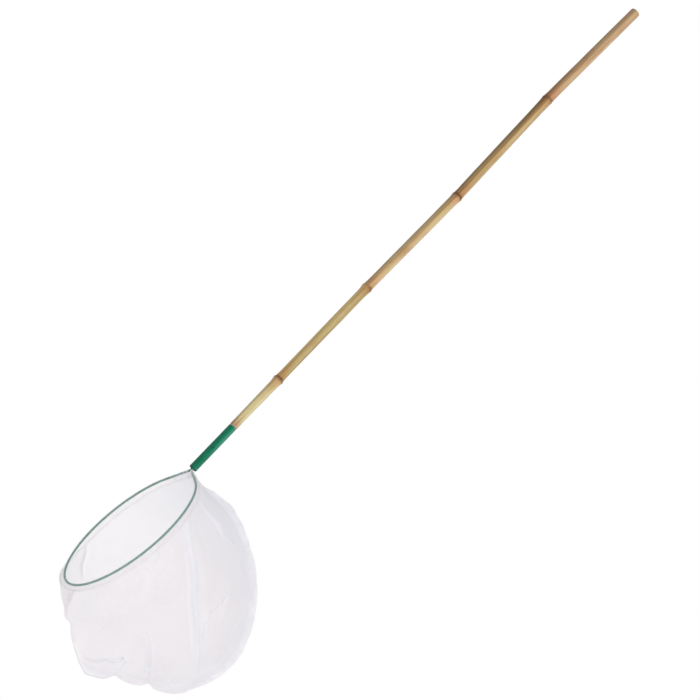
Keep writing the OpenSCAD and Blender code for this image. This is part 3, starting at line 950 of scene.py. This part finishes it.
# The hem and the seam hold the cloth fast while it hangs, and its stiffness holds it a little below the rim
RIM_ROWS = 2
RIM_HOLD = 0.6
RIM_FADE = 0.06
CLOTH_HOLD = 0.16
ON_EDGE = 0.001


def seam_mark(u, v):
    """A point's place on the seam, counted down the far side, along the bottom and up, or -1 away from it."""
    if u < ON_EDGE:
        return v * PANEL_ROWS
    if v > 1 - ON_EDGE:
        return PANEL_ROWS + u * PANEL_COLS
    if u > 1 - ON_EDGE:
        return PANEL_ROWS + PANEL_COLS + (1 - v) * PANEL_ROWS
    return -1


def shape_panel(name, side, folds):
    """A panel in the shape that it is sewn to hang in, with its cloth measured out in metres."""
    bpy.ops.object.select_all(action="DESELECT")
    bpy.ops.mesh.primitive_grid_add(x_subdivisions=PANEL_COLS, y_subdivisions=PANEL_ROWS, size=1)
    panel = bpy.context.object
    panel.name = name
    panel.data.name = name
    hang = panel.vertex_groups.new(name="hang")
    points = panel.data.vertices
    shares = [(point.co.x + 0.5, point.co.y + 0.5) for point in points]
    marks = [seam_mark(u, v) for u, v in shares]
    for number, (u, v) in enumerate(shares):
        row = round(v * PANEL_ROWS)
        points[number].co = panel_point(u, max(0, row - 1) / (PANEL_ROWS - 1), side, folds)
        turn = side * math.pi * (1 - u)
        if row == 0:
            lean = tip_at(turn)
            outwards = rim_way(rim_at(turn)[1])
            points[number].co += TUCKED_IN * (math.cos(lean) * hoop_n - math.sin(lean) * outwards)
        held = min(1.0, RIM_HOLD * math.exp(-v / RIM_FADE) + CLOTH_HOLD)
        if row < RIM_ROWS or marks[number] >= 0:
            held = 1.0
        hang.add([number], held, "REPLACE")
    across = PANEL_COLS + 1
    runs = [[0.0, 0.0] for _ in shares]
    for number in range(len(shares)):
        here = points[number].co
        if number % across:
            runs[number][0] = runs[number - 1][0] + (here - points[number - 1].co).length
        if number >= across:
            runs[number][1] = runs[number - across][1] + (here - points[number - across].co).length
    panel.data.uv_layers.active.name = "cloth"
    uv = panel.data.uv_layers.active.data
    for loop in panel.data.loops:
        uv[loop.index].uv = runs[loop.vertex_index]
    keep_values(panel, "seam_run", marks)
    keep_values(panel, "bunch", [bunch_at(u, v, side) for u, v in shares])
    keep_places(panel, "spread", [(u, v, 0) for u, v in shares])
    cloth_size = (max(run[0] for run in runs), max(run[1] for run in runs))
    return panel, cloth_size


front, front_size = shape_panel("net_front", -1, FRONT_FOLDS)
back_net, back_size = shape_panel("net_back", 1, BACK_FOLDS)
cut_areas = [sum(face.area for face in panel.data.polygons) for panel in (front, back_net)]
panel_net = net_finish("panel_net", NET_THREAD)
for panel in (front, back_net):
    panel.data.materials.append(panel_net)

# The two are sewn into one bag and hung, with the cloth a little fuller round than the space it hangs in
FULLNESS = 1.015
BAG_MIDDLE = hoop_centre.x + 0.02
SEWN_WITHIN = 0.00002
HANG_FRAMES = 40
front.data.materials.append(casing_net)
back_net.data.materials.append(casing_net)
for face in back_net.data.polygons:
    face.material_index = 1
bpy.ops.object.select_all(action="DESELECT")
back_net.select_set(True)
front.select_set(True)
bpy.context.view_layer.objects.active = front
bpy.ops.object.join()
bag = front
bpy.ops.object.mode_set(mode="EDIT")
bpy.ops.mesh.select_all(action="SELECT")
bpy.ops.mesh.remove_doubles(threshold=SEWN_WITHIN)
bpy.ops.object.mode_set(mode="OBJECT")
bag.shape_key_add(name="hung")
cut = bag.shape_key_add(name="cut")
for point in cut.data:
    point.co.x = BAG_MIDDLE + (point.co.x - BAG_MIDDLE) * FULLNESS
    point.co.y = point.co.y * FULLNESS
cloth = bag.modifiers.new("hanging", "CLOTH").settings
cloth.quality = 8
cloth.mass = 0.1
cloth.tension_stiffness = 20
cloth.compression_stiffness = 20
cloth.shear_stiffness = 4
cloth.bending_stiffness = 0.3
cloth.air_damping = 2
cloth.vertex_group_mass = "hang"
cloth.rest_shape_key = cut
for step in range(1, HANG_FRAMES + 1):
    bpy.context.scene.frame_set(step)
bpy.ops.object.convert(target="MESH")
bpy.context.scene.frame_set(1)
bpy.ops.object.mode_set(mode="EDIT")
bpy.ops.mesh.separate(type="MATERIAL")
bpy.ops.object.mode_set(mode="OBJECT")
front = bpy.context.object
for piece in bpy.context.selected_objects:
    if piece != front:
        back_net = piece
if sum(point.co.y for point in front.data.vertices) > 0:
    front, back_net = back_net, front
back_net.name = "net_back"

# Outside the seam a strip of both panels is left, crinkled, and drawn in at the neck and the far corner
SEAM_ALLOW = 0.009
NECK_ALLOW = 0.0036
SEAM_LINE = 0.0025
STRIP_ROWS = 3
STRIP_FROM = 0.3
STRIP_FADE = 0.3
STRIP_WAVE = 0.0022
STRIP_RAGGED = 0.16
STRIP_APART = 0.0002
NECK_PINCH = 0.03
PUCKER_PULL = 0.7
STRIP_OPEN = 0.3
STRIP_OPEN_REACH = 0.3
SMOOTHED = 3


def strip_at(mark):
    """Which way the strip lies on the cloth at a mark along the seam, and how wide it is."""
    if mark < PANEL_ROWS:
        way = Vector((-1, 0))
        share = STRIP_FROM - mark / PANEL_ROWS
    elif mark <= PANEL_ROWS + PANEL_COLS:
        way = Vector((0, 1))
        share = (mark - PANEL_ROWS) / PANEL_COLS - STRIP_FROM
    else:
        way = Vector((1, 0))
        share = 1 - (mark - PANEL_ROWS - PANEL_COLS) / PANEL_ROWS
    return way, NECK_ALLOW + (SEAM_ALLOW - NECK_ALLOW) * max(0.0, min(1.0, share / STRIP_FADE))


def add_strip(panel, side):
    """Sews the strip on and gives back the line that the seam's stitches follow, and the strip's area."""
    mesh = bmesh.new()
    mesh.from_mesh(panel.data)
    order = mesh.verts.layers.float["seam_run"]
    spread = mesh.verts.layers.float_vector["spread"]
    bunch = mesh.verts.layers.float["bunch"]
    cloth = mesh.loops.layers.uv["cloth"]
    line = sorted((vert for vert in mesh.verts if vert[order] >= 0), key=lambda vert: vert[order])
    last = len(line) - 1
    runs = [0.0]
    for before, after in zip(line, line[1:]):
        runs.append(runs[-1] + (after.co - before.co).length)
    corners = [vert.link_loops[0][cloth].uv.copy() for vert in line]
    rows = [line]
    shifts = [[Vector((0, 0))] * len(line)]
    for step in range(STRIP_ROWS):
        row = []
        shift = []
        for number, vert in enumerate(line):
            mark = vert[order]
            run = runs[number]
            way, full = strip_at(mark)
            wide = SEAM_LINE + (full - SEAM_LINE) * step / (STRIP_ROWS - 1)
            along = line[min(last, number + SMOOTHED)].co - line[max(0, number - SMOOTHED)].co
            out = Vector((along.z, 0, -along.x)).normalized()
            pinch = min(1.0, (runs[last] - run) / NECK_PINCH)
            reach = wide * pinch ** 1.5 * (1 + STRIP_RAGGED * ripple(run, 75, 1.7))
            if PANEL_ROWS <= mark <= PANEL_ROWS + PANEL_COLS:
                reach *= 1 - PUCKER_PULL * min(1.0, pucker_at((mark - PANEL_ROWS) / PANEL_COLS))
            wave = ripple(run, 52, 3.1) + 0.5 * ripple(run, 130, 7.7)
            sway = STRIP_WAVE * wave * pinch * wide / SEAM_ALLOW
            sewn_on = mesh.verts.new(vert.co + reach * out + Vector((0, sway + side * STRIP_APART, 0)))
            sewn_on[spread] = vert[spread]
            sewn_on[bunch] = vert[bunch] * (1 - (1 - STRIP_OPEN) * fall(vert[spread].y, STRIP_OPEN_REACH))
            row.append(sewn_on)
            shift.append(wide * way)
        rows.append(row)
        shifts.append(shift)
    area = 0.0
    for lower in range(STRIP_ROWS):
        for number in range(last):
            steps = ((lower, number), (lower, number + 1), (lower + 1, number + 1), (lower + 1, number))
            face = mesh.faces.new([rows[row][place] for row, place in steps])
            face.smooth = True
            area += face.calc_area()
            for loop, (row, place) in zip(face.loops, steps):
                loop[cloth].uv = corners[place] + shifts[row][place]
    seam_line = [vert.co.copy() for vert in rows[1]]
    bmesh.ops.recalc_face_normals(mesh, faces=mesh.faces)
    mesh.to_mesh(panel.data)
    mesh.free()
    return seam_line, area


# Sharp creases are pressed into the hung cloth, each one a share, a width and a line of places on the panel
CREASE_H = 0.0012
CREASE_W = 0.0034
FRONT_CREASES = (
    (
        2.3,
        1.3,
        (
            (0.478, 0.94),
            (0.485, 0.71),
            (0.503, 0.47),
            (0.524, 0.35),
            (0.542, 0.2),
            (0.57, 0.09),
            (0.615, 0.0),
        ),
    ),
    (1.4, 1.5, ((0.9, 0.46), (0.774, 0.3), (0.76, 0.245), (0.757, 0.15), (0.75, 0.065), (0.745, 0.0))),
    (1.0, 0.9, ((0.715, 0.583), (0.639, 0.593), (0.583, 0.602), (0.531, 0.64), (0.524, 0.77))),
    (1.9, 0.8, ((0.288, 0.5), (0.292, 0.565), (0.285, 0.67), (0.271, 0.815), (0.253, 0.9), (0.24, 1.0))),
    (0.8, 0.7, ((0.2, 0.83), (0.29, 0.825))),
    (0.7, 0.7, ((0.272, 0.838), (0.302, 0.861), (0.335, 0.83))),
    (0.7, 0.8, ((0.36, 0.89), (0.33, 1.0))),
    (0.5, 0.8, ((0.35, 0.73), (0.42, 0.75))),
    (
        2.0,
        0.7,
        (
            (0.0, 0.83),
            (0.05, 0.81),
            (0.09, 0.815),
            (0.135, 0.782),
            (0.167, 0.74),
            (0.177, 0.782),
            (0.15, 0.86),
        ),
    ),
    (0.9, 0.8, ((0.139, 0.787), (0.104, 1.0))),
    (0.7, 1.2, ((0.49, 0.0), (0.427, 0.037), (0.368, 0.106), (0.281, 0.236))),
    (0.6, 1.2, ((0.29, 0.0), (0.219, 0.028), (0.17, 0.08))),
    (0.6, 0.8, ((0.0, 0.12), (0.014, 0.21), (0.006, 0.5), (0.01, 0.65))),
    (0.4, 1.0, ((0.12, 0.29), (0.15, 0.5))),
    (1.8, 0.8, ((0.944, 0.5), (0.935, 0.62), (0.972, 0.745), (1.0, 0.89))),
)
BACK_CREASES = ((1.8, 1.0, ((0.42, 0.0), (0.399, 0.046), (0.358, 0.097), (0.33, 0.17))),)


def crease_at(line, spot):
    """How far a spot of the cloth is to one side of a crease, and how strong the crease is beside it."""
    lengths = [math.dist(before, after) for before, after in zip(line, line[1:])]
    nearest = None
    gone = 0.0
    for before, after, length in zip(line, line[1:], lengths):
        way = ((after[0] - before[0]) / length, (after[1] - before[1]) / length)
        off = (spot[0] - before[0], spot[1] - before[1])
        along = min(length, max(0.0, off[0] * way[0] + off[1] * way[1]))
        away = math.dist(off, (along * way[0], along * way[1]))
        if nearest is None or away < abs(nearest[0]):
            turned = off[0] * way[1] - off[1] * way[0]
            nearest = (math.copysign(away, turned), (gone + along) / sum(lengths))
        gone += length
    return nearest[0], math.sqrt(max(0.0, math.sin(math.pi * nearest[1])))


# The net lies closer on one side of a crease and opens on the other, as painted crease shade and light, with
# small gathers at the far front
CREASE_SHADE_COVER = 0.6
SHADE_COVER_MIDDLE = 0.6
SHADE_COVER_SIDE = 1.6
CREASE_REACH = 3
GATHER_H = 0.001
GATHERS = 34
GATHER_DRIFT = 5
GATHER_WIDE = 0.12
GATHER_REACH = 0.07


def press_creases(panel, creases, size, gather_h):
    """Moves the panel's points along their normals where a crease or a gather runs, and paints crease shade
    and light into the net's cover.
    """
    lines = []
    for share, width, line in creases:
        places = [(u * size[0], v * size[1]) for u, v in line]
        reach = CREASE_REACH * width * CREASE_W
        low = [min(place[axis] for place in places) - reach for axis in (0, 1)]
        high = [max(place[axis] for place in places) + reach for axis in (0, 1)]
        lines.append((share, width * CREASE_W, places, low, high))
    spread = [tuple(place.vector) for place in panel.data.attributes["spread"].data]
    bunches = [place.value for place in panel.data.attributes["bunch"].data]
    normals = [normal.vector.copy() for normal in panel.data.vertex_normals]
    for number, point in enumerate(panel.data.vertices):
        u, v, _ = spread[number]
        spot = (u * size[0], v * size[1])
        gather = math.sin(2 * math.pi * GATHERS * u + GATHER_DRIFT * ripple(u, 9, 4.2))
        depth = gather_h * gather * math.exp(-u / GATHER_WIDE) * rise_and_fade(v, GATHER_REACH)
        for share, width, places, low, high in lines:
            if low[0] < spot[0] < high[0] and low[1] < spot[1] < high[1]:
                away, strength = crease_at(places, spot)
                across = away / width
                depth += CREASE_H * share * strength * ridge(across)
                # Painted crease shade and light: the thread cover is made denser on one side of each crease
                # and thinner on the other
                crease_shade_cover = (SHADE_COVER_MIDDLE - SHADE_COVER_SIDE * across) * hump(across, 1)
                bunches[number] += CREASE_SHADE_COVER * share * strength * crease_shade_cover
        point.co += depth * normals[number]
    panel.data.attributes["bunch"].data.foreach_set("value", bunches)


FINER = 2
seam_lines = []
sewn = (
    (front, "net_front", "front_panel", -1, front_size, cut_areas[0], FRONT_CREASES, GATHER_H),
    (back_net, "net_back", "back_panel", 1, back_size, cut_areas[1], BACK_CREASES, 0.0),
)
for panel, name, node, side, size, cut_area, creases, gather_h in sewn:
    panel.name = name
    panel.data.name = name
    panel.data.materials.clear()
    panel.data.materials.append(panel_net)
    for face in panel.data.polygons:
        face.use_smooth = True
        face.material_index = 0
    seam_line, strip_area = add_strip(panel, side)
    seam_lines.append(seam_line)
    bpy.ops.object.select_all(action="DESELECT")
    bpy.context.view_layer.objects.active = panel
    panel.select_set(True)
    finer = panel.modifiers.new("finer", "SUBSURF")
    finer.levels = FINER
    finer.render_levels = FINER
    bpy.ops.object.modifier_apply(modifier="finer")
    press_creases(panel, creases, size, gather_h)
    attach(panel, "root")
    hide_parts(node)

# Hem and seam stitches
# White sewing thread in short running stitches, one row on each face of the hem and of the bag's seam.
# Each stitch is a loop of twisted thread that comes up through the net, arches over it and goes down again.
THREAD_R = 0.00017
STITCH_L = 0.0022
STITCH_PITCH = 0.003
STITCH_STEPS = 4
STITCH_SIDES = 6
STITCH_RISE = 0.0003
HEM_LINE = 0.002
HEM_STITCH_OUT = 0.0006
SEAM_STITCH_OUT = 0.0005
bpy.ops.object.select_all(action="DESELECT")
bpy.ops.mesh.primitive_circle_add(vertices=STITCH_SIDES, radius=THREAD_R, rotation=(0, math.pi / 2, 0))
stitch = bpy.context.object
bpy.ops.object.transform_apply(location=True, rotation=True, scale=True)
bpy.ops.object.mode_set(mode="EDIT")
bpy.ops.mesh.select_all(action="SELECT")
bpy.ops.transform.translate(value=(-STITCH_L / 2, 0, -STITCH_RISE))
bpy.ops.mesh.edge_face_add()
for step in range(STITCH_STEPS):
    before = math.sin(math.pi * step / STITCH_STEPS)
    after = math.sin(math.pi * (step + 1) / STITCH_STEPS)
    rise = 2 * STITCH_RISE * (after - before)
    bpy.ops.mesh.extrude_region_move(TRANSFORM_OT_translate={"value": (STITCH_L / STITCH_STEPS, 0, rise)})
face_outwards()
bpy.ops.object.shade_smooth()

thread_dark = paint(232, 230, 234)
thread_light = paint(247, 246, 249)
thread_finish, tree, shader = new_finish("sewing_thread", 0.7, Sheen_Weight=0.2, Specular_IOR_Level=0.25)
thread_at = add_node(tree, "ShaderNodeTexCoord").outputs["Object"]
strands = {"Vector": thread_at, "Scale": 900.0, "Distortion": 1.5}
twist = add_node(tree, "ShaderNodeTexWave", strands).outputs["Fac"]
thread_white = add_ramp(tree, twist, (0.2, thread_dark), (0.8, thread_light))
tree.links.new(thread_white, shader.inputs["Base Color"])
add_relief(tree, shader, twist, strength=0.3, distance=0.0001)


def spaced(line):
    """Places along a line, a stitch's pitch apart, each with the way that the line runs there."""
    places = []
    gone = 0.0
    wanted = STITCH_PITCH / 2
    for before, after in zip(line, line[1:]):
        step = after - before
        while step.length > 0 and wanted < gone + step.length:
            places.append((before + step * ((wanted - gone) / step.length), step.normalized()))
            wanted += STITCH_PITCH
        gone += step.length
    return places


def sew(name, node, stitches):
    """Makes one piece of stitches from where each lies, the way it runs and the way it faces."""
    row = bmesh.new()
    for place, along, faces in stitches:
        across = faces.cross(along).normalized()
        lie = Matrix((along, across, along.cross(across))).transposed().to_4x4()
        lie.translation = place
        sewn_from = len(row.verts)
        row.from_mesh(stitch.data)
        row.verts.ensure_lookup_table()
        bmesh.ops.transform(row, matrix=lie, verts=row.verts[sewn_from:])
    mesh = bpy.data.meshes.new(name)
    row.to_mesh(mesh)
    row.free()
    piece = bpy.data.objects.new(name, mesh)
    bpy.context.scene.collection.objects.link(piece)
    mesh.materials.append(thread_finish)
    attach(piece, "root")
    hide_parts(node)


hem = []
for face_side in (-1, 1):
    hem_line = []
    for step in range(CASING_STEPS + 1):
        run = casing_run * step / CASING_STEPS
        hem_line.append(casing_point(run, face_side * HEM_STITCH_OUT, HEM_LINE - CASING_DROP))
    for place, along in spaced(hem_line):
        hem.append((place, along, face_side * along.cross(hoop_n)))
sew("hem_thread", "hem_stitches", hem)
seam = []
for seam_line, face_side in zip(seam_lines, (-1, 1)):
    for place, along in spaced(seam_line):
        seam.append((place + Vector((0, face_side * SEAM_STITCH_OUT, 0)), along, Vector((0, face_side, 0))))
sew("seam_thread", "seam_stitches", seam)
bpy.data.objects.remove(stitch)

# Studio
# A plain pale floor well below the net, an even white surround, and two soft lamps.
# The key stands in front, a little to the right and low, and the weaker fill at the lower left.
VIEW_TURN = math.radians(-29.16)
VIEW_RIGHT = 0.25741
VIEW_UP = 0.21009
VIEW_BACK = 3.2
VIEW_LENS = 140.63
VIEW_SENSOR = 36
VIEW_END = 100
scene = bpy.context.scene
scene.view_settings.view_transform = "Standard"
right = Vector((math.cos(VIEW_TURN), math.sin(VIEW_TURN), 0))
back = Vector((math.sin(VIEW_TURN), -math.cos(VIEW_TURN), 0))
up = Vector((0, 0, 1))
camera_data = bpy.data.cameras.new("camera")
camera_data.lens = VIEW_LENS
camera_data.sensor_width = VIEW_SENSOR
camera_data.clip_end = VIEW_END
camera = bpy.data.objects.new("camera", camera_data)
scene.collection.objects.link(camera)
camera.location = hoop_centre + VIEW_RIGHT * right + VIEW_UP * up + VIEW_BACK * back
camera.rotation_euler = (math.pi / 2, 0, VIEW_TURN)
scene.camera = camera


def lit_or_seen(tree, lit, seen):
    """One strength for the light that falls on things, and one for what the camera and gloss see of it."""
    path = add_node(tree, "ShaderNodeLightPath").outputs
    shown = work_out(tree, "MAXIMUM", path["Is Camera Ray"], path["Is Glossy Ray"])
    shown = work_out(tree, "MAXIMUM", shown, path["Is Transmission Ray"])
    return rescale(tree, shown, 0.0, 1.0, lit, seen)


FLOOR_SIZE = 14
FLOOR_AT = (-0.3, 0, -2.0)
FLOOR_GLOW = 0.38
bpy.ops.object.select_all(action="DESELECT")
bpy.ops.mesh.primitive_plane_add(size=FLOOR_SIZE, location=FLOOR_AT)
floor = bpy.context.object
floor.name = "floor"
bpy.ops.object.transform_apply(location=True, rotation=True, scale=True)
floor_finish, tree, shader = new_finish("floor_finish", 0.9, Specular_IOR_Level=0)
shader.inputs["Base Color"].default_value = grey(0.85)
shader.inputs["Emission Color"].default_value = grey(1)
tree.links.new(lit_or_seen(tree, 0.0, FLOOR_GLOW), shader.inputs["Emission Strength"])
floor.data.materials.append(floor_finish)

SURROUND_LIGHT = 0.68
SURROUND_WHITE = 1.0
world = bpy.data.worlds.new("surround")
scene.world = world
world.use_nodes = True
tree = world.node_tree
surround = tree.nodes["Background"]
surround.inputs["Color"].default_value = grey(1)
tree.links.new(lit_or_seen(tree, SURROUND_LIGHT, SURROUND_WHITE), surround.inputs["Strength"])

look_at = Vector((-0.35, 0, -0.35))


def add_lamp(name, steps, size, power):
    """A round soft lamp that faces the net, so many metres to the right, towards the camera and up."""
    place = look_at + steps[0] * right + steps[1] * back + steps[2] * up
    lamp_data = bpy.data.lights.new(name, "AREA")
    lamp_data.shape = "DISK"
    lamp_data.size = size
    lamp_data.energy = power
    lamp = bpy.data.objects.new(name, lamp_data)
    scene.collection.objects.link(lamp)
    lamp.location = place
    lamp.rotation_euler = (look_at - place).to_track_quat("-Z", "Y").to_euler()


add_lamp("key_lamp", (0.5, 1.8, -0.6), size=1.4, power=10)
add_lamp("fill_lamp", (-1.6, 1.6, -0.8), size=1.6, power=4)
